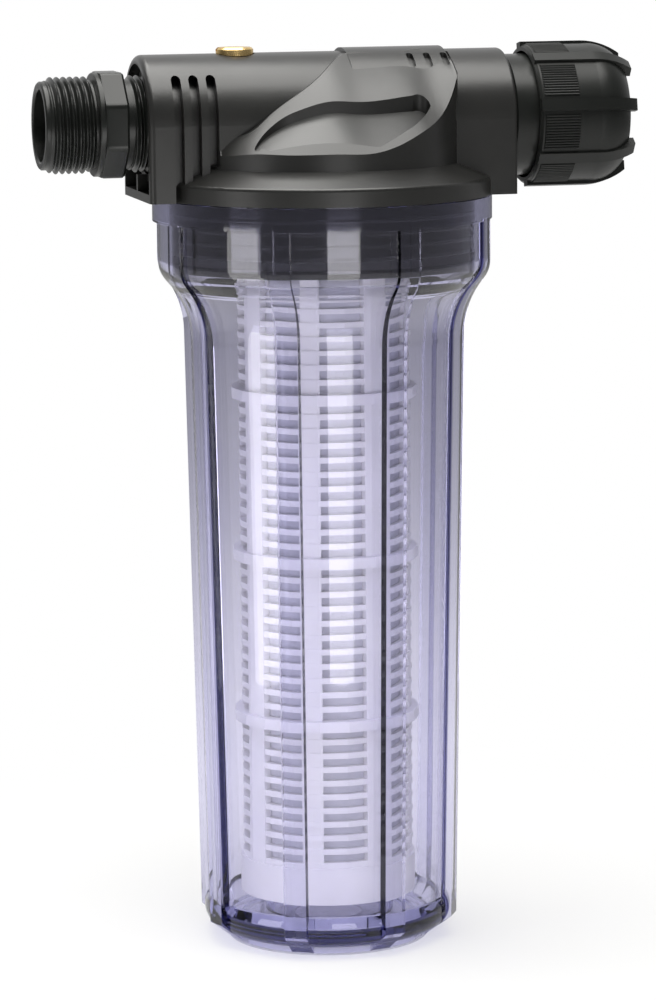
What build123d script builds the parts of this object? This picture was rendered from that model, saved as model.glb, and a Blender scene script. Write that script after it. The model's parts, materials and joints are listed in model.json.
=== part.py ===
from build123d import *
import os
from math import acos, degrees, radians, sin, sqrt

# In-line prefilter for a garden pump: a black moulded head carries water from a threaded
# nipple on the left, through a slotted cartridge in a clear ribbed bowl, to a union nut on the
# right. Millimetres, +Z up, origin at the centre of the foot of the bowl, +X towards the outlet.

# Bowl: one clear moulding that screws onto the spigot of the head
bowl_height = 263.1
wall = 3.2
foot_radius = 35.5
foot_width = 4.5
foot_height = 3.5
foot_recess = 2.5
foot_pad_radius = 12.0
floor_thickness = 7.0
body_low_radius = 42.7
body_low_height = 15.0
body_top_radius = 46.4
corner_bulge = 0.45
collar_radius = 57.4
collar_wall = 3.8
shoulder_drop = 22.1
shoulder_sweep = 30.0
shoulder_round = 10.0
lip_step = 1.8
lip_thickness = 8.0
ledge_width = 3.9
ledge_drop = 4.0
rib_count = 8
rib_width = 8.0
rib_height = 3.2
rib_phase = 16.5
rib_chamfer_height = 8.5
rib_foot_gap = 0.5
seat_radius = 22.5
seat_wall = 3.0
cartridge_lift = 17.0

# Head: skirt, drum and shield over the cross pipe
lip_gap = 0.3
skirt_rim = 5.2
skirt_round = 1.4
skirt_cone = 6.0
drum_inset = 10.9
drum_step = 5.2
pipe_drop = 26.0
pipe_radius = 23.5
inlet_arm = 65.5
outlet_arm = 64.2
arm_round = 2.2
arm_wall = 3.0
pocket_depth = 7.0
boss_wall = 2.4
boss_gap = 0.8
web = 2.0
shield_rise = 1.2
shield_left = 7.0
shield_right = 42.3
shield_end = 0.8
leaf_tilt = 10.8
leaf_hinge_height = 18.9
groove_width = 3.3
groove_depth = 4.0
groove_pitch = 6.05
groove_count = 3
groove_top = 15.4
groove_start = 10.3
notch_width = 2.3
notch_depth = 1.6
notch_inner = 9.7
notch_outer = 16.8
notch_start = 1.4

# Spigot, cartridge socket and water ways inside the head
spigot_gap = 0.35
spigot_length = 24.3
spigot_wall = 4.7
ring_section = 3.0
ring_sink = 2.5
ring_gap = 0.06
ring_offset = 2.6
socket_radius = 15.3
socket_wall = 4.0
socket_depth = 11.5
duct_radius = 11.0
chamber_radius = 12.5
chamber_length = 14.0
drop_radius = 8.0

# Standard pipe thread of nominal size one inch
thread_radius = 16.62
thread_core = 15.15
thread_gap = 0.05
seal_thickness = 2.5

# Inlet nipple
nipple_bore = 12.4
nipple_face = 33.9
nipple_start = 2.2
nipple_thread = 15.2
nipple_flange_radius = 17.8
nipple_flange = 1.8
octagon_flats = 36.0
octagon_width = 8.0
nipple_neck = 2.4
nipple_grip = 18.0

# Outlet neck, union nut and what holds it
neck_bore = 11.0
neck_grip = 13.0
neck_radius = 21.2
neck_clear = 0.4
neck_collar = 14.4
neck_spigot_radius = 16.0
neck_spigot = 13.0
nut_radius = 24.3
nut_offset = 8.4
nut_length = 34.0
nut_nose_radius = 19.0
nut_dome = 12.0
nut_back_gap = 1.0
nut_back_depth = 7.0
nut_lip = 4.0
nut_lip_gap = 0.08
nut_cavity_radius = 17.8
nut_rib_count = 8
nut_rib_width = 4.2
nut_rib_height = 1.0
nut_rib_overhang = 2.0
nut_rib_phase = 10.4
circlip_thickness = 1.2
circlip_radius = 17.3
circlip_depth = 1.1
circlip_opening = 35.0

# Vent and filling screw on the inlet arm
vent_place = 30.6
vent_thread_radius = 5.0
vent_head_radius = 6.5
vent_head = 2.8
vent_bevel = 0.7
vent_length = 8.5
vent_washer = 0.8
vent_washer_radius = 6.2
vent_seat_drop = 1.6
vent_seat_gap = 0.5
vent_slot_width = 1.6
vent_slot_depth = 1.3

# Cartridge: slotted cage over a fine sleeve, between two caps
cage_radius = 29.9
cage_wall = 2.2
cage_facets = 20
cage_phase = 22.0
broad_bar_angle = 17.6
broad_bar_proud = 0.7
narrow_bar_angle = 13.0
hoop_proud = 0.35
hoop_height = 2.0
band_proud = 2.8
band_height = 3.7
bay_rows = (10, 11, 11, 9)
band_places = (0.229, 0.498, 0.765)
sleeve_thickness = 0.4
cap_height = 13.0
cap_proud = 1.1
cap_lap = 0.4
cap_clearance = 3.1
top_cap_height = 6.5
cap_neck_radius = 13.0
cap_neck_wall = 2.4
cap_neck = 10.5
neck_seal_section = 3.0
neck_seal_sink = 1.2
neck_seal_gap = 0.3

# Places that follow from the sizes above
shoulder_height = bowl_height - shoulder_drop
lip_radius = collar_radius + lip_step
skirt_radius = lip_radius
drum_radius = skirt_radius - drum_inset
head_floor = bowl_height + lip_gap
pipe_height = head_floor + pipe_drop
pipe_axis = Axis((0, 0, pipe_height), (1, 0, 0))
collar_bore = collar_radius - collar_wall
spigot_radius = collar_bore - spigot_gap
spigot_foot = head_floor - spigot_length
shield_radius = pipe_radius + shield_rise
cage_foot = cartridge_lift + cap_height
cap_radius = cage_radius + cap_proud
cage_top = head_floor - cap_clearance - cap_neck - top_cap_height
cage_length = cage_top - cage_foot
upright = (Align.CENTER, Align.CENTER, Align.MIN)


def turned(outline, axis=Axis.Z):
    """Solid turned from a closed outline of (radius or length, height) points."""
    return revolve(Plane.XZ * make_face(outline), axis)


def turned_on_pipe(*points):
    """Solid turned about the pipe from points of (place along the pipe, radius)."""
    lifted = [(x, pipe_height + radius) for x, radius in points]
    return turned(Polyline(*lifted, close=True), pipe_axis)


def rod(radius, low, high):
    """Upright cylinder on the bowl's axis."""
    return Pos(0, 0, low) * Cylinder(radius, high - low, align=upright)


def ring(inner, outer, low, high):
    """Upright tube on the bowl's axis."""
    return rod(outer, low, high) - rod(inner, low, high)


def pipe_rod(radius, start, end):
    """Cylinder along the pipe."""
    return Plane.YZ.offset(start) * Pos(0, pipe_height, 0) * Cylinder(radius, end - start, align=upright)


def arch(radius, floor, start, end):
    """Bar along the pipe with a round top and a flat foot."""
    height = pipe_height - floor
    face = Pos(0, pipe_height) * Circle(radius)
    face += Pos(0, floor + height / 2) * Rectangle(2 * radius, height)
    return extrude(Plane.YZ.offset(start) * face, end - start)


def flare(low_radius, high_radius, top, sweep, rounding):
    """Two tangent arcs that lead from one upright wall out to a wider one."""
    turn = acos(1 - (high_radius - low_radius) / (sweep + rounding))
    low = top - (sweep + rounding) * sin(turn)
    first = JernArc((low_radius, low), (0, 1), sweep, -degrees(turn))
    return low, [first, JernArc(first @ 1, first % 1, rounding, degrees(turn))]


def bowl_body():
    """Turned outside of the bowl, from the foot to the lip."""
    low, shoulder = flare(body_top_radius, collar_radius, shoulder_height, shoulder_sweep, shoulder_round)
    bore = foot_radius - foot_width
    lip = bowl_height - lip_thickness
    half_out = (foot_radius + body_low_radius) / 2
    half_up = (foot_height + body_low_height) / 2
    bulge = corner_bulge * (body_low_radius - foot_radius)
    foot = Polyline(
        (0, 0),
        (foot_pad_radius, 0),
        (foot_pad_radius, foot_recess),
        (bore, foot_recess),
        (bore, 0),
        (foot_radius, 0),
        (foot_radius, foot_height),
    )
    corner = ThreePointArc(foot @ 1, (half_out + bulge, half_up - bulge), (body_low_radius, body_low_height))
    side = Line(corner @ 1, (body_top_radius, low))
    top = Polyline(
        shoulder[1] @ 1,
        (collar_radius, lip),
        (lip_radius, lip),
        (lip_radius, bowl_height),
        (0, bowl_height),
        foot @ 0,
    )
    return turned(Curve() + [foot, corner, side, *shoulder, top])


def bowl_cavity():
    """Turned inside of the bowl: floor, drafted wall, shoulder, ledge and collar bore."""
    ledge = shoulder_height - ledge_drop
    floor = foot_recess + floor_thickness
    top_radius = body_top_radius - wall
    low_radius = body_low_radius - wall
    low, shoulder = flare(top_radius, collar_bore - ledge_width, ledge, shoulder_sweep, shoulder_round)
    corner = Polyline((0, floor), (foot_radius, floor), (low_radius, body_low_height), (top_radius, low))
    top = Polyline(
        shoulder[1] @ 1,
        (collar_bore, ledge),
        (collar_bore, bowl_height),
        (0, bowl_height),
        corner @ 0,
    )
    return turned(Curve() + [corner, *shoulder, top])


def bowl_rib():
    """One upright fin, from the foot up to the lip."""
    inside = foot_radius - foot_width / 2
    crest = lip_radius - 0.2
    low_radius = body_low_radius + rib_height
    top_radius = body_top_radius + rib_height
    low, shoulder = flare(top_radius, crest, shoulder_height, shoulder_sweep, shoulder_round)
    side = Polyline(
        (inside, rib_foot_gap),
        (foot_radius - rib_foot_gap, rib_foot_gap),
        (low_radius, rib_chamfer_height),
        (top_radius, low),
    )
    lip = bowl_height - lip_thickness / 2
    top = Polyline(shoulder[1] @ 1, (crest, lip), (inside, lip), side @ 0)
    return extrude(Plane.XZ * make_face(Curve() + [side, *shoulder, top]), rib_width / 2, both=True)


def make_bowl():
    bowl = bowl_body()
    for k in range(rib_count):
        bowl += Rot(0, 0, rib_phase - 90 + k * 360 / rib_count) * bowl_rib()
    bowl -= bowl_cavity()
    floor = foot_recess + floor_thickness
    return bowl + ring(seat_radius - seat_wall, seat_radius, floor - 0.5, cartridge_lift)


# Stations of the shield: place along the pipe as a share of the drum's radius, height of its
# upper edge above the pipe axis, height of its rim above the drum's foot, bulge of the skin
shield_stations = [
    (-0.859, -8.4, 5.2, 0.1),
    (-0.704, -3.4, 5.2, 0.5),
    (-0.497, 3.3, 5.2, 0.8),
    (-0.290, 9.9, 5.1, 1.2),
    (-0.083, 16.6, 5.0, 1.8),
    (0.124, 22.9, 5.0, 2.2),
    (0.331, 23.0, 7.3, 2.2),
    (0.538, 23.0, 11.6, 2.0),
    (0.745, 23.0, 18.5, 1.6),
    (0.890, 23.0, 30.5, 0.6),
]

# Outline of the leaf seen from above, in shares of the drum's radius
leaf_tip = (-0.645, -0.693)
leaf_shoulder = (-0.333, -0.602)
leaf_corner = (0.524, -0.598)
leaf_nose = (0.634, -0.663)
leaf_right = (0.414, -0.849)
leaf_foot = (0.060, -1.000)
leaf_heel = (-0.611, -0.741)
leaf_hinge = ((-0.683, -0.787), (0.207, -0.952))


def shield_section(share, upper, rim, bulge):
    """Face across the pipe, bounded above by one arc of the shield's skin."""
    place = share * drum_radius
    rim_reach = -sqrt(drum_radius**2 - place**2)
    inner = -min(sqrt(shield_radius**2 - max(upper, 0) ** 2), -rim_reach - shield_end)
    top = Vector(inner, pipe_height + upper)
    edge = Vector(rim_reach, head_floor + drum_step + skirt_cone + rim)
    slope = (edge - top).normalized()
    past = edge + slope * 4
    middle = (top + past) * 0.5 + Vector(-slope.Y, slope.X) * -bulge
    foot = head_floor + drum_step
    skin = ThreePointArc(top, middle, past)
    rest = Polyline(past, (past.X, foot), (0, foot), (0, top.Y), top)
    return Plane.YZ.offset(place) * make_face(Curve() + [skin, rest])


def shield_skin():
    """The front half of the shield before the drum trims it."""
    return loft([shield_section(*station) for station in shield_stations])


def bowed(start, end, bow):
    """Arc between two points that bows to the left of the way from start to end."""
    middle = (start + end) * 0.5
    way = end - start
    return ThreePointArc(start, middle + Vector(-way.Y, way.X) * bow, end)


def leaf_cutter(skin):
    """Leaf-shaped recess, nearly flush at its foot and deepest along its upper edge."""
    marks = (leaf_tip, leaf_shoulder, leaf_corner, leaf_nose, leaf_right, leaf_foot, leaf_heel)
    tip, shoulder, corner, nose, right, foot, heel = (Vector(*mark) * drum_radius for mark in marks)
    outline = [
        bowed(tip, shoulder, 0.12),
        bowed(shoulder, corner, -0.045),
        bowed(corner, nose, 0.3),
        bowed(nose, right, 0.07),
        bowed(right, foot, 0.02),
        bowed(foot, heel, 0.14),
        bowed(heel, tip, 0.5),
    ]
    prism = extrude(make_face(Curve() + outline), 2 * pipe_radius)
    start, end = (Vector(*mark) * drum_radius for mark in leaf_hinge)
    lift = Vector(0, 0, head_floor + leaf_hinge_height)
    sunk = skin.rotate(Axis(start + lift, end - start), -leaf_tilt)
    return Pos(0, 0, head_floor + drum_step) * prism - sunk


def head_shield():
    """Drum and shield, alike in front and behind."""
    skin = shield_skin()
    front = (skin & rod(drum_radius, head_floor, pipe_height + pipe_radius * 2)) - leaf_cutter(skin)
    crown = pipe_rod(shield_radius, shield_left, shield_right)
    crown &= Pos(0, 0, pipe_height) * Box(4 * pipe_radius, 2 * shield_radius, 2 * shield_radius, align=upright)
    return front, mirror(front, Plane.XZ), crown


def head_skirt():
    """Round cover over the bowl's mouth."""
    rim = head_floor + skirt_rim
    foot = Polyline((0, head_floor), (skirt_radius, head_floor), (skirt_radius, rim))
    edge = JernArc(foot @ 1, (0, 1), skirt_round, 60)
    cone_top = head_floor + skirt_rim + skirt_cone
    top = Polyline(edge @ 1, (drum_radius, cone_top), (drum_radius, cone_top + 1), (0, cone_top + 1), foot @ 0)
    return turned(Curve() + [foot, edge, top])


def end_pocket(end, inward):
    """Hollow at the end of an arm, round the boss that takes the thread."""
    depth = pocket_depth * inward
    start, stop = sorted((end, end + depth))
    pocket = arch(pipe_radius - arm_wall, head_floor + arm_wall, start, stop)
    boss = pipe_rod(thread_radius + boss_gap + boss_wall, start, stop) - pipe_rod(
        thread_radius + boss_gap, start, stop
    )
    step = pocket_depth / 2 * inward
    boss &= pipe_rod(pipe_radius, *sorted((end + step, end + depth)))
    stem = Box(pocket_depth, web, pipe_drop, align=(Align.CENTER, Align.CENTER, Align.MAX))
    stem = Pos((start + stop) / 2, 0, pipe_height) * stem - pipe_rod(thread_radius + boss_gap, start, stop)
    return pocket - boss - stem


def arm_grooves():
    """Upright grooves with round tops in the side of the inlet arm."""
    grooves = Part()
    top = pipe_height + groove_top
    for k in range(groove_count):
        place = -inlet_arm + groove_start + k * groove_pitch
        face = Pos(place, (head_floor + top) / 2) * Rectangle(groove_width, top - head_floor)
        face += Pos(place, top) * Circle(groove_width / 2)
        grooves += extrude(Plane.XZ * face, pipe_radius * 2)
    return grooves - arch(pipe_radius - groove_depth, head_floor, -inlet_arm, 0)


def crown_notches():
    """Short notches across the crown of the shield, beside the outlet arm."""
    notches = Part()
    for k in range(groove_count):
        place = shield_right - notch_start - k * groove_pitch
        length = notch_outer - notch_inner
        middle = -(notch_outer + notch_inner) / 2
        slot = SlotOverall(length, notch_width, rotation=90)
        notches += extrude(Pos(place, middle, pipe_height) * slot, 2 * pipe_radius)
    return notches - pipe_rod(shield_radius - notch_depth, 0, outlet_arm)


def make_head():
    port = thread_radius + thread_gap
    arms = arch(pipe_radius, head_floor, -inlet_arm, outlet_arm)
    for end, rounding in ((0, arm_round), (-1, arm_round / 2)):
        edges = arms.faces().sort_by(Axis.X)[end].edges()
        arms = fillet(edges.filter_by(lambda edge: edge.center().Z > head_floor + 1), rounding)
    grooves = arm_grooves()
    arms -= grooves + mirror(grooves, Plane.XZ)
    head = arms + head_skirt()
    for piece in head_shield():
        head += piece
    notches = crown_notches()
    head -= notches + mirror(notches, Plane.XZ)
    head += ring(spigot_radius - spigot_wall, spigot_radius, spigot_foot, head_floor + 1)
    seal_low = spigot_foot + ring_offset
    head -= ring(spigot_radius - ring_sink, spigot_radius + 1, seal_low, seal_low + ring_section)
    head += ring(socket_radius, socket_radius + socket_wall, head_floor - socket_depth, head_floor + 1)
    head -= end_pocket(-inlet_arm, 1)
    head -= end_pocket(outlet_arm, -1)
    inlet_stop = -inlet_arm + pocket_depth + nipple_grip + seal_thickness
    head -= pipe_rod(port, -inlet_arm, inlet_stop)
    head -= pipe_rod(chamber_radius, inlet_stop, inlet_stop + chamber_length)
    drop_place = inlet_stop + drop_radius
    head -= Pos(drop_place, 0, 0) * rod(drop_radius, head_floor - 1, pipe_height)
    outlet_stop = outlet_arm - pocket_depth - neck_grip - seal_thickness
    head -= pipe_rod(port, outlet_stop, outlet_arm)
    head -= pipe_rod(duct_radius, 0, outlet_stop)
    head -= rod(duct_radius, head_floor - 1, pipe_height)
    seat = pipe_height + pipe_radius - vent_seat_drop
    head -= Pos(-vent_place, 0, 0) * rod(vent_head_radius + vent_seat_gap, seat, pipe_height + 2 * pipe_radius)
    head -= Pos(-vent_place, 0, 0) * rod(vent_thread_radius + thread_gap, pipe_height, seat)
    return head


def make_bowl_seal():
    low = spigot_foot + ring_offset + ring_gap
    inner = spigot_radius - ring_sink + ring_gap
    return ring(inner, spigot_radius + ring_gap, low, low + ring_section - 2 * ring_gap)


def make_nipple():
    face = -inlet_arm - nipple_face
    thread = face + nipple_start
    flange = thread + nipple_thread + 1
    grip = flange + nipple_flange
    neck = grip + octagon_width
    inside = neck + nipple_neck
    end = -inlet_arm + pocket_depth + nipple_grip
    body = turned_on_pipe(
        (face, nipple_bore),
        (face, thread_core),
        (thread, thread_core),
        (thread + 0.8, thread_radius),
        (flange - 1, thread_radius),
        (flange, nipple_flange_radius),
        (grip, nipple_flange_radius),
        (grip, thread_core),
        (inside, thread_core),
        (inside + 0.8, thread_radius),
        (end, thread_radius),
        (end, nipple_bore),
    )
    octagon = RegularPolygon(octagon_flats / 2, 8, major_radius=False)
    grip_body = extrude(Plane.YZ.offset(grip) * Pos(0, pipe_height) * octagon, octagon_width)
    return body + (grip_body - pipe_rod(nipple_bore, grip, neck))


def port_seal(start):
    """Flat washer at the bottom of a threaded port."""
    washer = pipe_rod(thread_core + 1, start, start + seal_thickness)
    return washer - pipe_rod(nipple_bore + 0.4, start, start + seal_thickness)


def neck_places():
    """Places along the pipe where the outlet neck changes: inner end, collar, spigot, tip."""
    inner = outlet_arm - pocket_depth - neck_grip
    collar = outlet_arm + neck_clear
    spigot = collar + neck_collar
    return inner, collar, spigot, spigot + neck_spigot


def make_neck():
    inner, collar, spigot, tip = neck_places()
    groove = spigot + nut_lip + 2 * nut_lip_gap
    return turned_on_pipe(
        (inner, neck_bore),
        (inner, thread_radius),
        (collar, thread_radius),
        (collar, neck_radius - 0.6),
        (collar + 0.6, neck_radius),
        (spigot - 0.6, neck_radius),
        (spigot, neck_radius - 0.6),
        (spigot, neck_spigot_radius),
        (groove, neck_spigot_radius),
        (groove, neck_spigot_radius - circlip_depth),
        (groove + circlip_thickness + nut_lip_gap, neck_spigot_radius - circlip_depth),
        (groove + circlip_thickness + nut_lip_gap, neck_spigot_radius),
        (tip, neck_spigot_radius),
        (tip, neck_bore),
    )


def make_circlip():
    """Open spring ring that keeps the nut on the neck."""
    groove = neck_places()[2] + nut_lip + 2 * nut_lip_gap
    clip = pipe_rod(circlip_radius, groove, groove + circlip_thickness)
    clip -= pipe_rod(neck_spigot_radius - circlip_depth + nut_lip_gap, groove, groove + circlip_thickness)
    half = circlip_radius * sin(radians(circlip_opening / 2))
    gap = Box(circlip_thickness, 2 * half, circlip_radius, align=(Align.MIN, Align.CENTER, Align.MAX))
    return clip - Pos(groove, 0, pipe_height) * gap


def nut_rib(tip, back):
    """One grip rib along the nut, following its dome and standing past its nose."""
    dome = tip - nut_dome
    crest = nut_radius + nut_rib_height
    nose = nut_nose_radius + nut_rib_height + 0.6
    low = Polyline((tip + nut_rib_overhang, nose), (tip + nut_rib_overhang, nut_nose_radius - 2), (back, nut_radius - 1))
    up = Polyline(low @ 1, (back, crest), (dome, crest))
    over = ThreePointArc(up @ 1, (dome + 0.58 * nut_dome, crest - 0.24 * (crest - nose)), low @ 0)
    face = make_face(Curve() + [low, up, over])
    return Pos(0, 0, pipe_height) * extrude(Plane.XZ * face, nut_rib_width / 2, both=True)


def make_nut():
    back = outlet_arm + nut_offset
    tip = back + nut_length
    _, _, spigot, neck_tip = neck_places()
    lip = spigot + nut_lip_gap
    cavity = lip + nut_lip
    thread = neck_tip + seal_thickness + nut_lip_gap
    back_bore = neck_radius + nut_back_gap
    dome = tip - nut_dome
    drop = nut_radius - nut_nose_radius
    inside = [
        (tip, thread_radius),
        (tip - 1.5, thread_core),
        (thread, thread_core),
        (thread, nut_cavity_radius),
        (cavity, nut_cavity_radius),
        (cavity, neck_spigot_radius + nut_lip_gap),
        (lip, neck_spigot_radius + nut_lip_gap),
        (lip, back_bore),
        (back, back_bore),
        (back, nut_radius - 0.8),
        (back + 0.8, nut_radius),
        (dome, nut_radius),
    ]
    bore = Polyline(*[(x, pipe_height + radius) for x, radius in inside])
    crown = ThreePointArc(
        bore @ 1,
        (dome + 0.6 * nut_dome, pipe_height + nut_radius - 0.24 * drop),
        (tip, pipe_height + nut_nose_radius),
    )
    nut = turned(Curve() + [bore, crown, Line(crown @ 1, bore @ 0)], pipe_axis)
    clear = pipe_rod(nut_radius - 1, back, dome) + pipe_rod(nut_nose_radius - 1.5, dome, tip + nut_length)
    for k in range(nut_rib_count):
        rib = Rot(90 - nut_rib_phase - k * 360 / nut_rib_count, 0, 0) * Pos(0, 0, -pipe_height) * nut_rib(tip, back)
        nut += Pos(0, 0, pipe_height) * rib - clear
    return nut


def make_union_seal():
    tip = neck_places()[3]
    seal = pipe_rod(nut_cavity_radius - 0.6, tip, tip + seal_thickness)
    return seal - pipe_rod(neck_bore + 0.6, tip, tip + seal_thickness)


def vent_seat():
    return pipe_height + pipe_radius - vent_seat_drop


def make_vent_washer():
    low = vent_seat()
    return Pos(-vent_place, 0, 0) * ring(vent_thread_radius + 0.1, vent_washer_radius, low, low + vent_washer)


def make_vent_screw():
    low = vent_seat() + vent_washer
    top = low + vent_head
    screw = turned(
        Polyline(
            (0, low - vent_length),
            (vent_thread_radius - 0.6, low - vent_length),
            (vent_thread_radius, low - vent_length + 0.6),
            (vent_thread_radius, low),
            (vent_head_radius, low),
            (vent_head_radius, top - vent_bevel),
            (vent_head_radius - vent_bevel, top),
            (0, top),
            close=True,
        )
    )
    screw -= Pos(0, 0, top - vent_slot_depth) * Box(3 * vent_head_radius, vent_slot_width, 5, align=upright)
    return Pos(-vent_place, 0, 0) * screw


def cage_ring(proud, low, height):
    """Faceted ring of the cage, which stands out from its narrow bars."""
    inner = RegularPolygon(cage_radius - cage_wall, cage_facets)
    outer = RegularPolygon(cage_radius + proud, cage_facets)
    return extrude(Pos(0, 0, low) * (outer - inner), height)


def cage_bar(proud, angle, turn):
    """Upright bar of the cage over its whole length."""
    reach = 2 * cage_radius
    half = radians(angle / 2)
    wedge = Polyline((0, 0), (reach, -reach * sin(half)), (reach, reach * sin(half)), close=True)
    face = RegularPolygon(cage_radius + proud, cage_facets) - RegularPolygon(cage_radius - cage_wall, cage_facets)
    face &= Rot(0, 0, cage_phase - 90 + turn) * make_face(wedge)
    return extrude(Pos(0, 0, cage_foot) * face, cage_length)


def make_cage():
    """Broad and narrow bars by turns, tied by thin hoops and by broader bands between the bays."""
    pieces = []
    for k in range(4):
        pieces.append(cage_bar(broad_bar_proud, broad_bar_angle, 90 * k))
        pieces.append(cage_bar(0, narrow_bar_angle, 90 * k + 45))
    rings = [(cage_foot, hoop_height, hoop_proud)]
    for share in band_places:
        rings.append((cage_foot + share * cage_length, band_height, band_proud))
    rings.append((cage_top - hoop_height, hoop_height, hoop_proud))
    for low, height, proud in rings:
        pieces.append(cage_ring(proud, low, height))
    for rows, (low, height, _), (high, _, _) in zip(bay_rows, rings, rings[1:]):
        pitch = (high - low - height + hoop_height) / rows
        for row in range(1, rows):
            pieces.append(cage_ring(hoop_proud, low + height + row * pitch - hoop_height, hoop_height))
    return pieces[0].fuse(*pieces[1:])


def make_sleeve():
    outer = cage_radius - cage_wall - cap_lap
    return ring(outer - sleeve_thickness, outer, cage_foot, cage_top)


def make_bottom_cap():
    lap = cage_radius - cage_wall - 2 * cap_lap - sleeve_thickness
    cap = rod(cap_radius, cartridge_lift, cage_foot) + rod(lap, cage_foot, cage_foot + 3)
    return cap - rod(lap - 2, cartridge_lift + 3, cage_foot + 3)


def make_top_cap():
    lap = cage_radius - cage_wall - 2 * cap_lap - sleeve_thickness
    top = cage_top + top_cap_height
    cap = rod(cap_radius, cage_top, top) + ring(lap - 2, lap, cage_top - 3, cage_top + 1)
    cap += rod(cap_neck_radius, top, top + cap_neck)
    cap -= rod(cap_neck_radius - cap_neck_wall, cage_top - 1, top + cap_neck)
    seal_low = neck_seal_low()
    groove = ring(cap_neck_radius - neck_seal_sink, cap_neck_radius + 1, seal_low, seal_low + neck_seal_section)
    return cap - groove


def neck_seal_low():
    return cage_top + top_cap_height + cap_neck - 2 * neck_seal_section


def make_neck_seal():
    low = neck_seal_low()
    inner = cap_neck_radius - neck_seal_sink
    return ring(inner, socket_radius - neck_seal_gap, low, low + neck_seal_section)


parts = {
    "filter_head": make_head(),
    "bowl": make_bowl(),
    "bowl_seal": make_bowl_seal(),
    "cartridge_cage": make_cage(),
    "mesh_sleeve": make_sleeve(),
    "cartridge_bottom_cap": make_bottom_cap(),
    "cartridge_top_cap": make_top_cap(),
    "cartridge_seal": make_neck_seal(),
    "inlet_nipple": make_nipple(),
    "inlet_seal": port_seal(-inlet_arm + pocket_depth + nipple_grip),
    "outlet_neck": make_neck(),
    "outlet_seal": port_seal(neck_places()[0] - seal_thickness),
    "union_nut": make_nut(),
    "retaining_ring": make_circlip(),
    "union_seal": make_union_seal(),
    "vent_washer": make_vent_washer(),
    "vent_screw": make_vent_screw(),
}

os.makedirs("parts", exist_ok=True)
for name, part in parts.items():
    export_step(part, f"parts/{name}.step")
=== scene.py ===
import json
import math

import bmesh
import bpy
from mathutils import Matrix, Vector


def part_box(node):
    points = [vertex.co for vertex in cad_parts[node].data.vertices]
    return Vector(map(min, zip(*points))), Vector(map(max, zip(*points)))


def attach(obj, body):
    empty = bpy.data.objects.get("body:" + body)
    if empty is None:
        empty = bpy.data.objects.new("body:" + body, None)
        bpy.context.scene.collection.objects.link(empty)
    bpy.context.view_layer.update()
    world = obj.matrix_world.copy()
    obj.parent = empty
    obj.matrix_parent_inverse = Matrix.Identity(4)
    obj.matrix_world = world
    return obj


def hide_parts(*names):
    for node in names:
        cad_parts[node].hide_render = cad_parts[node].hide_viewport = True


# Looks of the prefilter: black moulded head and fittings, clear violet bowl, milky cartridge.
# Metres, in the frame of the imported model.

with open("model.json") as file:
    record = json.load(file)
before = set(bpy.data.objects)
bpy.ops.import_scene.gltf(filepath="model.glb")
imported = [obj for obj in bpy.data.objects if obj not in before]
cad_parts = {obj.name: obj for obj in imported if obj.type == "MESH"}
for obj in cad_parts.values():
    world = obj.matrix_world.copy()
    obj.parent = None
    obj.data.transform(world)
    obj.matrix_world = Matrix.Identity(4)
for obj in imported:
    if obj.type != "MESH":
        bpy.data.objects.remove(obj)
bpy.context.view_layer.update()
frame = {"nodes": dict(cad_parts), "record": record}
MM = 0.001

# Photograph's camera: lengths in metres, angles in degrees
FRAME_HEIGHT_PX = 1000
FOCAL_PX = 4198
SENSOR_MM = 24.0
CAMERA_AZIMUTH = -13.86
CAMERA_YAW = -0.045
CAMERA_PITCH = 8.84
CAMERA_ROLL = -0.52
CAMERA_REACH = 1.4606
CAMERA_HEIGHT = 0.3827

# Overhead lamp, and two upright strip lamps as (degrees from the camera's side, width)
TOP_PLACE = (-0.05, -0.05, 1.1)
TOP_TARGET = (0, -0.02, 0.28)
TOP_SIZE = (1.1, 0.8)
TOP_RADIANCE = 6.6
TOP_COLOUR = (1, 0.99, 0.96)
STRIP_LEFT = (-54, 0.18)
STRIP_RIGHT = (13.8, 0.17)
STRIP_REACH = 0.45
STRIP_HEIGHT = 0.22
STRIP_RADIANCE = 3.9
STRIP_COLOUR = (1, 0.99, 0.98)

# Share of the white background that glass and gloss see, and the world's own light
WORLD_GLASS_SHARE = 0.60
FLOOR_GLASS_SHARE = 0.25
GLOSS_SHARE_FRONT = 0.08
GLOSS_SHARE_BACK = 0.85
FLOOR_GLOSS_SHARE = 0.10
WORLD_LIGHT = 0.10
WORLD_COLOUR = (0.96, 0.97, 1.0, 1)

# Values between which most of a noise lies
NOISE_LOW = 0.3
NOISE_HIGH = 0.7

# Pipe and pipe thread of nominal size one inch
PIPE_HEIGHT = next(mount["pos_m"][2] for mount in frame["record"]["mounts"] if mount["name"] == "inlet")
THREAD_PITCH = 2.309 * MM
THREAD_CREST = 16.62 * MM
THREAD_ROOT = 15.15 * MM
THREAD_STEP = 0.16 * MM
ROUND_STEPS = 192


def smooth(obj, angle=35.0):
    """Smooth shading that keeps edges sharper than the angle."""
    mesh = obj.data
    limit = math.radians(angle)
    work = bmesh.new()
    work.from_mesh(mesh)
    for face in work.faces:
        face.smooth = True
    for edge in work.edges:
        edge.smooth = len(edge.link_faces) == 2 and edge.calc_face_angle(0) < limit
    work.to_mesh(mesh)
    work.free()


def new_object(name, verts, faces, material):
    """Smooth-shaded mesh object with one material."""
    mesh = bpy.data.meshes.new(name)
    mesh.from_pydata(verts, [], faces)
    mesh.materials.append(material)
    obj = bpy.data.objects.new(name, mesh)
    bpy.context.collection.objects.link(obj)
    smooth(obj)
    return obj


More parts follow.
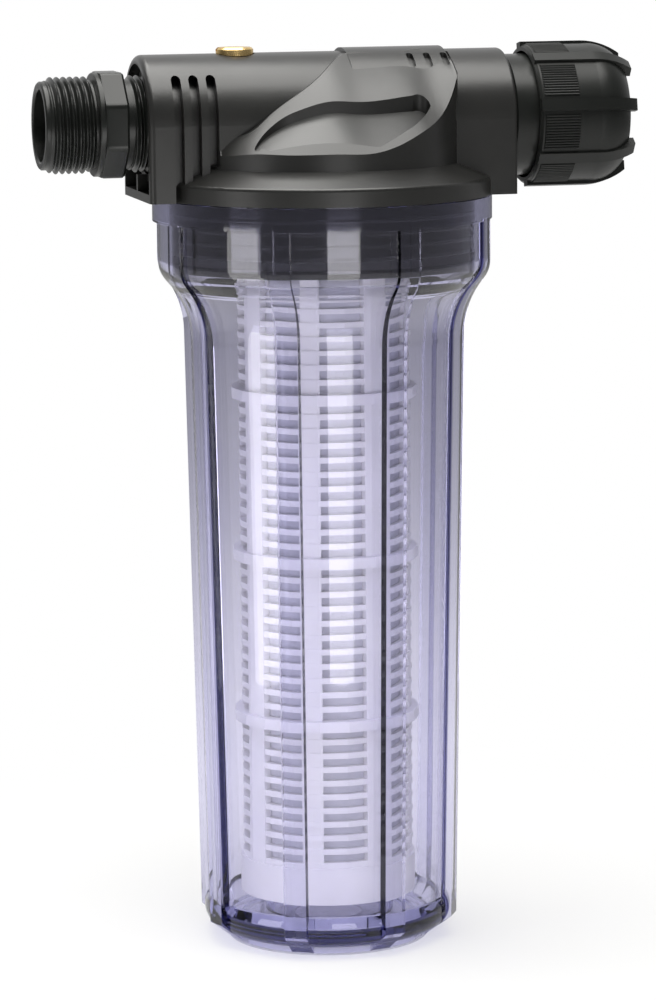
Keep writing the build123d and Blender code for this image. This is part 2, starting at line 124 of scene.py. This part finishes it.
def turned_grid(name, rows, material, along_pipe=True):
    """Closed ring of rows; each row is (place, function of the angle that gives the radius)."""
    verts, faces = [], []
    for place, radius in rows:
        for k in range(ROUND_STEPS):
            angle = 2 * math.pi * k / ROUND_STEPS
            r = radius(angle)
            across, up = r * math.cos(angle), r * math.sin(angle)
            if along_pipe:
                verts.append((place, across, PIPE_HEIGHT + up))
            else:
                verts.append((across, up, place))
    count = len(rows)
    for i in range(count):
        for k in range(ROUND_STEPS):
            a, b = i * ROUND_STEPS, (i + 1) % count * ROUND_STEPS
            n = (k + 1) % ROUND_STEPS
            faces.append((a + k, a + n, b + n, b + k))
    obj = new_object(name, verts, faces, material)
    work = bmesh.new()
    work.from_mesh(obj.data)
    bmesh.ops.recalc_face_normals(work, faces=work.faces)
    work.to_mesh(obj.data)
    work.free()
    return obj


def round_row(place, radius):
    """Row of a plain circle."""
    return place, lambda angle: radius


def polygon_row(place, apothem, sides, turn):
    """Row of a regular polygon with its corners slightly rounded."""
    corner_share = 0.99
    step = 2 * math.pi / sides
    corner = apothem / math.cos(step / 2) * corner_share

    def radius(angle):
        local = (angle - turn) % step - step / 2
        return min(apothem / math.cos(local), corner)

    return place, radius


def thread_rows(start, stop, fade):
    """Rows of the pipe thread, with rounded crests, that fades in and out at its ends."""
    sharpness = 1.25
    rows = []
    count = round((stop - start) / THREAD_STEP)
    for i in range(count + 1):
        place = start + (stop - start) * i / count
        reach = min(1.0, (place - start) / fade, (stop - place) / fade)

        def radius(angle, place=place, reach=max(reach, 0.0)):
            phase = (place / THREAD_PITCH - angle / (2 * math.pi)) % 1.0
            flank = 0.5 - 0.5 * math.cos(2 * math.pi * phase)
            return THREAD_ROOT + (THREAD_CREST - THREAD_ROOT) * reach * flank**sharpness

        rows.append((place, radius))
    return rows


# Nodes that the materials share


def node_material(name):
    """New material, with its nodes, links, shader and texture coordinates."""
    material = bpy.data.materials.new(name)
    material.use_nodes = True
    nodes, links = material.node_tree.nodes, material.node_tree.links
    shader = nodes["Principled BSDF"]
    coords = nodes.new("ShaderNodeTexCoord")
    return material, nodes, links, shader, coords


def noise(nodes, links, coords, scale, detail=3.0, stretch=(1, 1, 1)):
    """Cloudy value over the object."""
    mapping = nodes.new("ShaderNodeMapping")
    mapping.inputs["Scale"].default_value = stretch
    texture = nodes.new("ShaderNodeTexNoise")
    texture.inputs["Scale"].default_value = scale
    texture.inputs["Detail"].default_value = detail
    links.new(coords.outputs["Object"], mapping.inputs["Vector"])
    links.new(mapping.outputs["Vector"], texture.inputs["Vector"])
    return texture.outputs["Fac"]


def ramp(nodes, links, source, low, high):
    """Colour that runs from one to another with the source value."""
    blend = nodes.new("ShaderNodeValToRGB")
    blend.color_ramp.elements[0].position = NOISE_LOW
    blend.color_ramp.elements[1].position = NOISE_HIGH
    blend.color_ramp.elements[0].color = (*low, 1)
    blend.color_ramp.elements[1].color = (*high, 1)
    links.new(source, blend.inputs["Fac"])
    return blend.outputs["Color"]


def spread(nodes, links, source, low, high, start=NOISE_LOW, end=NOISE_HIGH, course="LINEAR"):
    """Number that runs from low to high as the source value runs from start to end."""
    level = nodes.new("ShaderNodeMapRange")
    level.interpolation_type = course
    level.inputs["From Min"].default_value = start
    level.inputs["From Max"].default_value = end
    level.inputs["To Min"].default_value = low
    level.inputs["To Max"].default_value = high
    links.new(source, level.inputs["Value"])
    return level.outputs["Result"]


def combine(nodes, links, operation, first, second):
    """Two values combined, each of them a number or another node's output."""
    node = nodes.new("ShaderNodeMath")
    node.operation = operation
    for socket, value in zip(node.inputs, (first, second)):
        if isinstance(value, float):
            socket.default_value = value
        else:
            links.new(value, socket)
    return node.outputs["Value"]


def bump(nodes, links, source, shader, strength, distance):
    """Fine relief from the source value."""
    node = nodes.new("ShaderNodeBump")
    node.inputs["Strength"].default_value = strength
    node.inputs["Distance"].default_value = distance
    links.new(source, node.inputs["Height"])
    links.new(node.outputs["Normal"], shader.inputs["Normal"])


# Materials


def plastic(name, colours, roughness, grain_scale, grain_depth, gloss=0.5):
    """Moulded plastic: faint cloudy colour, fine grain, uneven gloss."""
    material, nodes, links, shader, coords = node_material(name)
    cloud = noise(nodes, links, coords, 45)
    grain = noise(nodes, links, coords, grain_scale, 2.0)
    links.new(ramp(nodes, links, cloud, *colours), shader.inputs["Base Color"])
    links.new(spread(nodes, links, cloud, *roughness), shader.inputs["Roughness"])
    shader.inputs["Specular IOR Level"].default_value = gloss
    bump(nodes, links, grain, shader, 0.35, grain_depth)
    return material


def head_plastic():
    """Grained satin black; on the spigot inside the bowl smooth and glossy, as the real spigot is, with a
    darker base colour that is painted shade.
    """
    colours = ((0.012, 0.012, 0.0115), (0.016, 0.016, 0.015))
    # Below the bowl's top: a darker base colour, which is painted shade on the spigot inside the collar, and
    # a low roughness, which is the spigot's real gloss.
    spigot = (("Base Color", "RGBA", (0.006, 0.006, 0.007, 1)), ("Roughness", "FLOAT", 0.12))
    bowl_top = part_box("bowl")[1][2]
    material = plastic("grained_black", colours, (0.30, 0.36), 1500, 0.05 * MM)
    nodes, links = material.node_tree.nodes, material.node_tree.links
    shader = nodes["Principled BSDF"]
    height = nodes.new("ShaderNodeSeparateXYZ")
    links.new(nodes["Texture Coordinate"].outputs["Object"], height.inputs["Vector"])
    above = combine(nodes, links, "GREATER_THAN", height.outputs["Z"], float(bowl_top))
    for name, kind, value in spigot:
        mix = nodes.new("ShaderNodeMix")
        mix.data_type = kind
        below_socket, above_socket = [socket for socket in mix.inputs if socket.enabled][1:3]
        result = next(socket for socket in mix.outputs if socket.enabled)
        below_socket.default_value = value
        links.new(shader.inputs[name].links[0].from_socket, above_socket)
        links.new(above, mix.inputs["Factor"])
        links.new(result, shader.inputs[name])
    return material


def clear_plastic():
    """Violet clear plastic whose tint deepens with its thickness."""
    material, nodes, links, shader, coords = node_material("clear_violet")
    cloud = noise(nodes, links, coords, 30)
    ripple = noise(nodes, links, coords, 22, 2.0, (1, 1, 0.25))
    links.new(ramp(nodes, links, cloud, (0.93, 0.92, 0.99), (0.97, 0.96, 1.0)), shader.inputs["Base Color"])
    links.new(spread(nodes, links, cloud, 0.015, 0.04), shader.inputs["Roughness"])
    shader.inputs["Transmission Weight"].default_value = 1.0
    shader.inputs["IOR"].default_value = 1.5
    bump(nodes, links, ripple, shader, 0.15, 0.4 * MM)
    clear = nodes.new("ShaderNodeBsdfTransparent")
    clear.inputs["Color"].default_value = (0.93, 0.93, 0.96, 1)
    path = nodes.new("ShaderNodeLightPath")
    mix = nodes.new("ShaderNodeMixShader")
    tint = nodes.new("ShaderNodeVolumeAbsorption")
    tint.inputs["Color"].default_value = (0.40, 0.40, 0.67, 1)
    tint.inputs["Density"].default_value = 76.0
    out = nodes["Material Output"]
    links.new(path.outputs["Is Shadow Ray"], mix.inputs["Fac"])
    links.new(shader.outputs["BSDF"], mix.inputs[1])
    links.new(clear.outputs["BSDF"], mix.inputs[2])
    links.new(mix.outputs["Shader"], out.inputs["Surface"])
    links.new(tint.outputs["Volume"], out.inputs["Volume"])
    return material


def milky_plastic():
    """White plastic of the cartridge, with a little light inside it."""
    material, nodes, links, shader, coords = node_material("milky_white")
    cloud = noise(nodes, links, coords, 60)
    links.new(ramp(nodes, links, cloud, (0.78, 0.77, 0.76), (0.84, 0.83, 0.82)), shader.inputs["Base Color"])
    links.new(spread(nodes, links, cloud, 0.35, 0.5), shader.inputs["Roughness"])
    shader.inputs["Subsurface Weight"].default_value = 0.25
    shader.inputs["Subsurface Scale"].default_value = 4 * MM
    shader.inputs["Subsurface Radius"].default_value = (1.0, 0.95, 1.1)
    bump(nodes, links, cloud, shader, 0.1, 0.1 * MM)
    return material


def mesh_cloth():
    """Fine woven mesh of the sleeve."""
    material, nodes, links, shader, coords = node_material("fine_mesh")
    weave = nodes.new("ShaderNodeTexWave")
    weave.bands_direction = "Z"
    weave.inputs["Scale"].default_value = 900
    weave.inputs["Distortion"].default_value = 0.4
    links.new(coords.outputs["Object"], weave.inputs["Vector"])
    cloud = noise(nodes, links, coords, 80)
    links.new(ramp(nodes, links, cloud, (0.50, 0.50, 0.55), (0.60, 0.60, 0.65)), shader.inputs["Base Color"])
    links.new(spread(nodes, links, cloud, 0.7, 0.85), shader.inputs["Roughness"])
    bump(nodes, links, weave.outputs["Fac"], shader, 0.3, 0.1 * MM)
    return material


def metal(name, colours, roughness, turned):
    """Machined metal with fine turning marks."""
    material, nodes, links, shader, coords = node_material(name)
    cloud = noise(nodes, links, coords, 120)
    marks = noise(nodes, links, coords, 900, 2.0, turned)
    links.new(ramp(nodes, links, cloud, *colours), shader.inputs["Base Color"])
    links.new(spread(nodes, links, marks, *roughness), shader.inputs["Roughness"])
    shader.inputs["Metallic"].default_value = 1.0
    bump(nodes, links, marks, shader, 0.2, 0.03 * MM)
    return material


def make_materials():
    """One material for each slot of the record."""
    glossy = ((0.007, 0.008, 0.007), (0.010, 0.011, 0.010))
    satin = ((0.008, 0.009, 0.008), (0.011, 0.012, 0.011))
    rubber = ((0.012, 0.012, 0.012), (0.020, 0.020, 0.020))
    steel = ((0.50, 0.50, 0.50), (0.60, 0.60, 0.60))
    brass = ((0.72, 0.50, 0.20), (0.83, 0.60, 0.27))
    return {
        "head": head_plastic(),
        "fitting": plastic("glossy_black", glossy, (0.26, 0.34), 600, 0.02 * MM, 0.3),
        "nut": plastic("satin_black", satin, (0.34, 0.42), 900, 0.03 * MM, 0.28),
        "bowl": clear_plastic(),
        "cage": milky_plastic(),
        "mesh": mesh_cloth(),
        "seal": plastic("black_rubber", rubber, (0.6, 0.75), 500, 0.05 * MM),
        "steel": metal("spring_steel", steel, (0.25, 0.35), (1, 8, 8)),
        "brass": metal("turned_brass", brass, (0.2, 0.34), (8, 8, 1)),
    }


def dress_nodes(materials):
    """Each carried-over solid gets the material of its slot."""
    slots = {item["node"]: item["material_slot"] for item in frame["record"]["subparts"]}
    for name, obj in frame["nodes"].items():
        obj.data.materials.clear()
        obj.data.materials.append(materials[slots[name]])


# Pieces that carry the fine detail


def make_nipple(material):
    """Threaded nipple with its octagon grip, in place of the plain solid."""
    low, high = (corner[0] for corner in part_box("inlet_nipple"))
    bore = 12.4 * MM
    face_round = 0.5 * MM
    flange = low + 18.4 * MM
    flange_radius = 17.8 * MM
    flange_round = 0.3 * MM
    grip = flange + 1.8 * MM
    grip_sides = 8
    turn = math.pi / grip_sides
    apothem = 18.0 * MM
    chamfer = 0.8 * MM
    neck = grip + 8.0 * MM
    neck_apothem = flange_radius - 0.4 * MM
    shank = neck + 2.4 * MM
    shank_radius = THREAD_ROOT + 0.2 * MM
    rows = [
        round_row(low, bore + face_round),
        round_row(low, THREAD_ROOT - face_round),
        round_row(low + face_round, THREAD_ROOT),
    ]
    rows += thread_rows(low + 1.7 * MM, flange - 0.4 * MM, 2.0 * MM)
    rows += [
        round_row(flange, THREAD_ROOT),
        round_row(flange, flange_radius - flange_round),
        round_row(flange + flange_round, flange_radius),
        round_row(grip, flange_radius),
        polygon_row(grip, flange_radius, grip_sides, turn),
        polygon_row(grip + chamfer, apothem, grip_sides, turn),
        polygon_row(neck - chamfer, apothem, grip_sides, turn),
        polygon_row(neck, neck_apothem, grip_sides, turn),
        round_row(neck, shank_radius),
        round_row(shank, shank_radius),
    ]
    rows += thread_rows(shank + 0.1 * MM, high - 2 * MM, 0.6 * MM)
    rows += [round_row(high, THREAD_ROOT), round_row(high, bore), round_row(low + face_round, bore)]
    nipple = turned_grid("nipple_threaded", rows, material)
    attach(nipple, "head_unit")
    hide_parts("inlet_nipple")


def make_knurls(material):
    """Finely ridged grip panels between the ribs of the union nut."""
    panels = 8
    ridges = 13
    ridge_profile = (0.35, 0.87, 1.0, 0.87)
    rib_phase = 10.4
    half_width = 14.8
    base, crest = 24.1 * MM, 24.75 * MM
    bevel = 0.5 * MM
    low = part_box("union_nut")[0][0]
    start, stop = low + 1.2 * MM, low + 14.4 * MM
    stations = ((start, 0), (start + bevel, 1), (stop - bevel, 1), (stop, 0))
    steps = ridges * len(ridge_profile)
    for panel in range(panels):
        middle = (panel + 0.5) * 360 / panels - 90 - rib_phase
        verts, faces = [], []
        for i in range(steps + 1):
            angle = math.radians(middle - half_width + 2 * half_width * i / steps)
            ridge = ridge_profile[i % len(ridge_profile)]
            for place, raised in stations:
                r = base + (crest - base) * ridge * raised
                verts.append((place, r * math.cos(angle), PIPE_HEIGHT + r * math.sin(angle)))
        for i in range(steps):
            for k in range(len(stations) - 1):
                a = i * len(stations) + k
                b = a + len(stations)
                faces.append((a, b, b + 1, a + 1))
        piece = new_object(f"nut_knurl_{panel + 1}", verts, faces, material)
        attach(piece, "nut")


def make_spigot_thread(material):
    """Coarse screw thread on the spigot, seen through the collar of the bowl."""
    turns = 4
    first, pitch = 245.3 * MM, 4.3 * MM
    half_height = 0.8 * MM
    base, crest = 53.1 * MM, 53.5 * MM
    root = base - 0.4 * MM
    arc_steps = 8
    for index in range(turns):
        height = first + pitch * index
        rows = []
        for k in range(arc_steps + 1):
            t = math.pi * k / arc_steps
            rows.append(round_row(height - half_height * math.cos(t), base + (crest - base) * math.sin(t)))
        rows.append(round_row(height, root))
        ridge = turned_grid(f"spigot_thread_{index + 1}", rows, material, along_pipe=False)
        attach(ridge, "head_unit")


# Camera, lights and surroundings


def make_camera():
    """Camera at the photograph's place and angle."""
    azimuth = math.radians(CAMERA_AZIMUTH)
    heading = math.radians(CAMERA_AZIMUTH + CAMERA_YAW)
    pitch, roll = math.radians(CAMERA_PITCH), math.radians(CAMERA_ROLL)
    place = Vector((CAMERA_REACH * math.sin(azimuth), -CAMERA_REACH * math.cos(azimuth), CAMERA_HEIGHT))
    ahead = Vector(
        (-math.sin(heading) * math.cos(pitch), math.cos(heading) * math.cos(pitch), -math.sin(pitch))
    )
    level = ahead.cross(Vector((0, 0, 1))).normalized()
    above = level.cross(ahead)
    right = level * math.cos(roll) + above * math.sin(roll)
    up = above * math.cos(roll) - level * math.sin(roll)
    data = bpy.data.cameras.new("camera")
    data.sensor_fit = "VERTICAL"
    data.sensor_height = SENSOR_MM
    data.lens = SENSOR_MM * FOCAL_PX / FRAME_HEIGHT_PX
    camera = bpy.data.objects.new("camera", data)
    camera.matrix_world = Matrix.Translation(place) @ Matrix((right, up, -ahead)).transposed().to_4x4()
    bpy.context.collection.objects.link(camera)
    bpy.context.scene.camera = camera


def make_light(name, place, target, size, radiance, colour):
    """Rectangular lamp whose power follows from how bright its face is."""
    data = bpy.data.lights.new(name, "AREA")
    data.shape = "RECTANGLE"
    data.size, data.size_y = size
    data.energy = radiance * math.pi * size[0] * size[1]
    data.color = colour
    light = bpy.data.objects.new(name, data)
    light.location = place
    light.rotation_euler = (Vector(place) - Vector(target)).to_track_quat("Z", "Y").to_euler()
    light.visible_camera = False
    bpy.context.collection.objects.link(light)


def make_strip(name, turn, width):
    """Upright strip lamp near the bowl, turned from the camera's side by an angle."""
    angle = math.radians(CAMERA_AZIMUTH + turn)
    middle = STRIP_HEIGHT / 2
    place = (STRIP_REACH * math.sin(angle), -STRIP_REACH * math.cos(angle), middle)
    make_light(name, place, (0, 0, middle), (width, STRIP_HEIGHT), STRIP_RADIANCE, STRIP_COLOUR)


def seen_or_lit(nodes, links, seen, lit, camera_share, glass_share, gloss_share):
    """Mixes the plain background, by how much each kind of ray sees of it, with the light it gives."""
    path = nodes.new("ShaderNodeLightPath").outputs
    share = 0.0
    for kind, part in (
        ("Is Camera Ray", camera_share),
        ("Is Transmission Ray", glass_share),
        ("Is Glossy Ray", gloss_share),
    ):
        weighed = combine(nodes, links, "MULTIPLY", path[kind], part)
        share = combine(nodes, links, "MAXIMUM", share, weighed)
    mix = nodes.new("ShaderNodeMixShader")
    links.new(share, mix.inputs["Fac"])
    links.new(lit, mix.inputs[1])
    links.new(seen, mix.inputs[2])
    return mix.outputs["Shader"]


def make_world():
    """White to the camera, with more of that white in gloss towards the far side of the object."""
    far_start, far_end = -0.2, 0.9
    azimuth = math.radians(CAMERA_AZIMUTH)
    world = bpy.data.worlds.new("studio")
    world.use_nodes = True
    nodes, links = world.node_tree.nodes, world.node_tree.links
    lit = nodes["Background"]
    lit.inputs["Color"].default_value = WORLD_COLOUR
    lit.inputs["Strength"].default_value = WORLD_LIGHT
    seen = nodes.new("ShaderNodeBackground")
    seen.inputs["Color"].default_value = (1, 1, 1, 1)
    seen.inputs["Strength"].default_value = 1.0
    coords = nodes.new("ShaderNodeTexCoord")
    far = nodes.new("ShaderNodeVectorMath")
    far.operation = "DOT_PRODUCT"
    far.inputs[1].default_value = (-math.sin(azimuth), math.cos(azimuth), 0)
    links.new(coords.outputs["Generated"], far.inputs[0])
    shares = (GLOSS_SHARE_FRONT, GLOSS_SHARE_BACK)
    gloss = spread(nodes, links, far.outputs["Value"], *shares, far_start, far_end, "SMOOTHSTEP")
    surface = seen_or_lit(
        nodes, links, seen.outputs["Background"], lit.outputs["Background"], 1.0, WORLD_GLASS_SHARE, gloss
    )
    links.new(surface, nodes["World Output"].inputs["Surface"])
    bpy.context.scene.world = world


def make_floor():
    """Pale floor that keeps the object's shadow close by and fades into the background."""
    half = 6.0
    shadow_share = 0.5
    fade_start, fade_end = 0.06, 0.30
    material, nodes, links, shader, coords = node_material("floor_white")
    cloud = noise(nodes, links, coords, 2)
    links.new(ramp(nodes, links, cloud, (0.90, 0.90, 0.90), (0.92, 0.92, 0.92)), shader.inputs["Base Color"])
    shader.inputs["Roughness"].default_value = 0.9
    glow = nodes.new("ShaderNodeEmission")
    glow.inputs["Strength"].default_value = 1.0
    apart = nodes.new("ShaderNodeVectorMath")
    apart.operation = "LENGTH"
    links.new(coords.outputs["Object"], apart.inputs[0])
    plain_shares = (1.0 - shadow_share, 1.0)
    fade = spread(nodes, links, apart.outputs["Value"], *plain_shares, fade_start, fade_end, "SMOOTHSTEP")
    seen, lit = glow.outputs["Emission"], shader.outputs["BSDF"]
    surface = seen_or_lit(nodes, links, seen, lit, fade, FLOOR_GLASS_SHARE, FLOOR_GLOSS_SHARE)
    links.new(surface, nodes["Material Output"].inputs["Surface"])
    corners = [(-half, -half, 0), (half, -half, 0), (half, half, 0), (-half, half, 0)]
    new_object("floor", corners, [(0, 1, 2, 3)], material)


def make_studio():
    """Everything round the object."""
    make_camera()
    make_world()
    make_floor()
    make_light("top_soft", TOP_PLACE, TOP_TARGET, TOP_SIZE, TOP_RADIANCE, TOP_COLOUR)
    make_strip("strip_left", *STRIP_LEFT)
    make_strip("strip_right", *STRIP_RIGHT)


materials = make_materials()
dress_nodes(materials)
make_nipple(materials["fitting"])
make_knurls(materials["nut"])
make_spigot_thread(materials["head"])
make_studio()

bpy.context.scene.view_settings.view_transform = "Standard"
